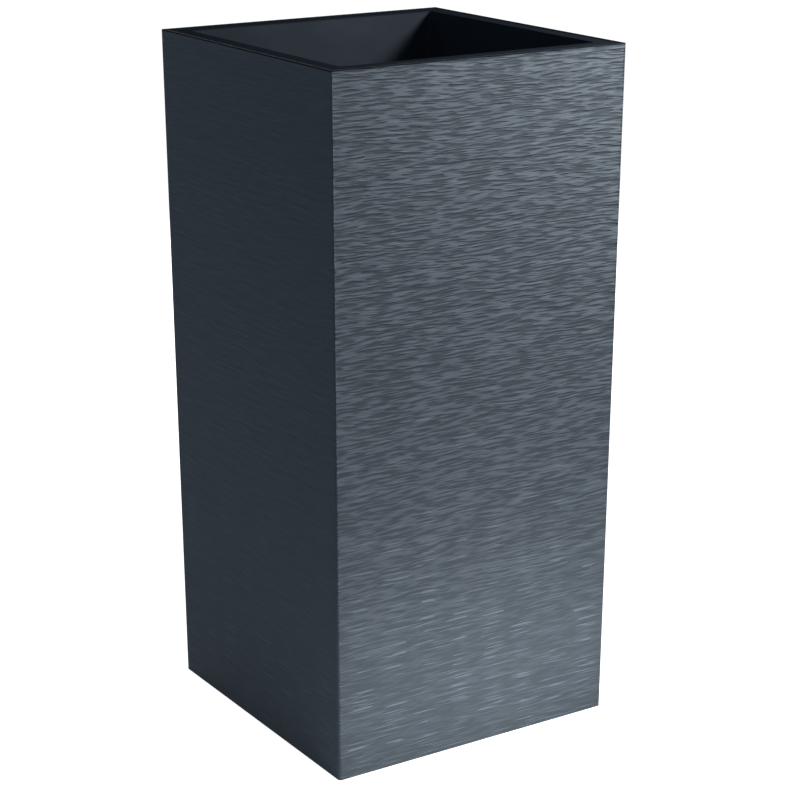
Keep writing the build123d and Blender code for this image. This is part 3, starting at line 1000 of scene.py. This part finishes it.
def floor_material():
    """Light that bounces sees a pale floor. A ray from the camera sees one that glows, and still takes
    a shadow."""
    material = bpy.data.materials.new("floor")
    tree = Tree(material)
    lit = tree.node("ShaderNodeBsdfDiffuse", None, {"Color": lit_colour})
    shaded = tree.node("ShaderNodeBsdfDiffuse", None, {"Color": shaded_colour})
    glow = tree.node("ShaderNodeEmission", None, {"Color": white, "Strength": glow_strength})
    seen = tree.node("ShaderNodeAddShader", None, {0: shaded, 1: glow})
    surface = tree.node("ShaderNodeMixShader", None, {0: sees_backdrop(tree), 1: lit, 2: seen})
    tree.node("ShaderNodeOutputMaterial", None, {"Surface": surface})
    return material


floor_corners = np.array([(x, y, 0.0) for x, y in ((-1, -1), (1, -1), (1, 1), (-1, 1))]) * floor_reach
floor = mesh_object("floor", floor_corners, [np.array([[0, 1, 2, 3]])])
floor.data.materials.append(floor_material())
print("floor:", 2 * floor_reach, "m square")

# %% World
sky_stops = [
    (0.0, (0.31, 0.37, 0.43, 1.0)),
    (0.25, (0.27, 0.33, 0.39, 1.0)),
    (0.7, (0.12, 0.15, 0.18, 1.0)),
]
world = bpy.data.worlds.new("studio")
bpy.context.scene.world = world
world_tree = Tree(world)
direction = world_tree.node("ShaderNodeTexCoord", output="Generated")
height_share = world_tree.node("ShaderNodeSeparateXYZ", None, {0: direction}, output="Z")
dim = world_tree.node("ShaderNodeValToRGB", {"stops": sky_stops}, {0: height_share})
ambient = world_tree.node("ShaderNodeBackground", None, {"Color": dim, "Strength": 1.0})
backdrop = world_tree.node("ShaderNodeBackground", None, {"Color": white, "Strength": 1.0})
shares = {0: sees_backdrop(world_tree), 1: ambient, 2: backdrop}
sky = world_tree.node("ShaderNodeMixShader", None, shares)
world_tree.node("ShaderNodeOutputWorld", None, {"Surface": sky})
print("world nodes:", len(world_tree.nodes))

# %% [markdown]
# Three lamps light the planter. The key stands high on the right of the camera and close to the rim, so
# that the front is bright at the top and its light rakes over the strokes. A low, wide lamp lifts the
# foot of the front, and a large soft one behind keeps the back readable when the planter is turned.

# %% Lamps
key_way = Vector((-84.0, 106.0, -54.0)).normalized()
key_distance = 0.95
key_size = (0.16, 0.16)
key_power = 17.0
low_way = Vector((-0.1, 1.0, -0.05)).normalized()
low_distance = 0.42
low_size = (0.5, 0.06)
low_power = 1.3
back_way = Vector((-0.45, -1.0, -0.35)).normalized()
back_distance = 2.6
back_size = (1.6, 1.6)
back_power = 60.0
lamp_colour = (1.0, 0.98, 0.95)


def area_lamp(name, aim, way, distance, size, power):
    """A rectangular lamp that shines along way at a point from a distance."""
    data = bpy.data.lights.new(name, "AREA")
    data.shape = "RECTANGLE"
    data.size, data.size_y = size
    data.energy = power
    data.color = lamp_colour
    lamp = bpy.data.objects.new(name, data)
    lamp.location = aim - way * distance
    lamp.rotation_euler = way.to_track_quat("-Z", "Y").to_euler()
    lamp.visible_camera = False
    bpy.context.scene.collection.objects.link(lamp)


area_lamp("key", Vector((0.0, 0.0, 0.96 * case_height)), key_way, key_distance, key_size, key_power)
area_lamp("low", Vector((-0.04, 0.0, 0.08 * case_height)), low_way, low_distance, low_size, low_power)
area_lamp("back", Vector((0.0, 0.0, 0.5 * case_height)), back_way, back_distance, back_size, back_power)
print("lamps:", ", ".join(lamp.name for lamp in bpy.data.lights))

# %% [markdown]
# The picture shows the colours as the light makes them, with no film look on top.

# %% Colours as they are
bpy.context.scene.view_settings.view_transform = "Standard"
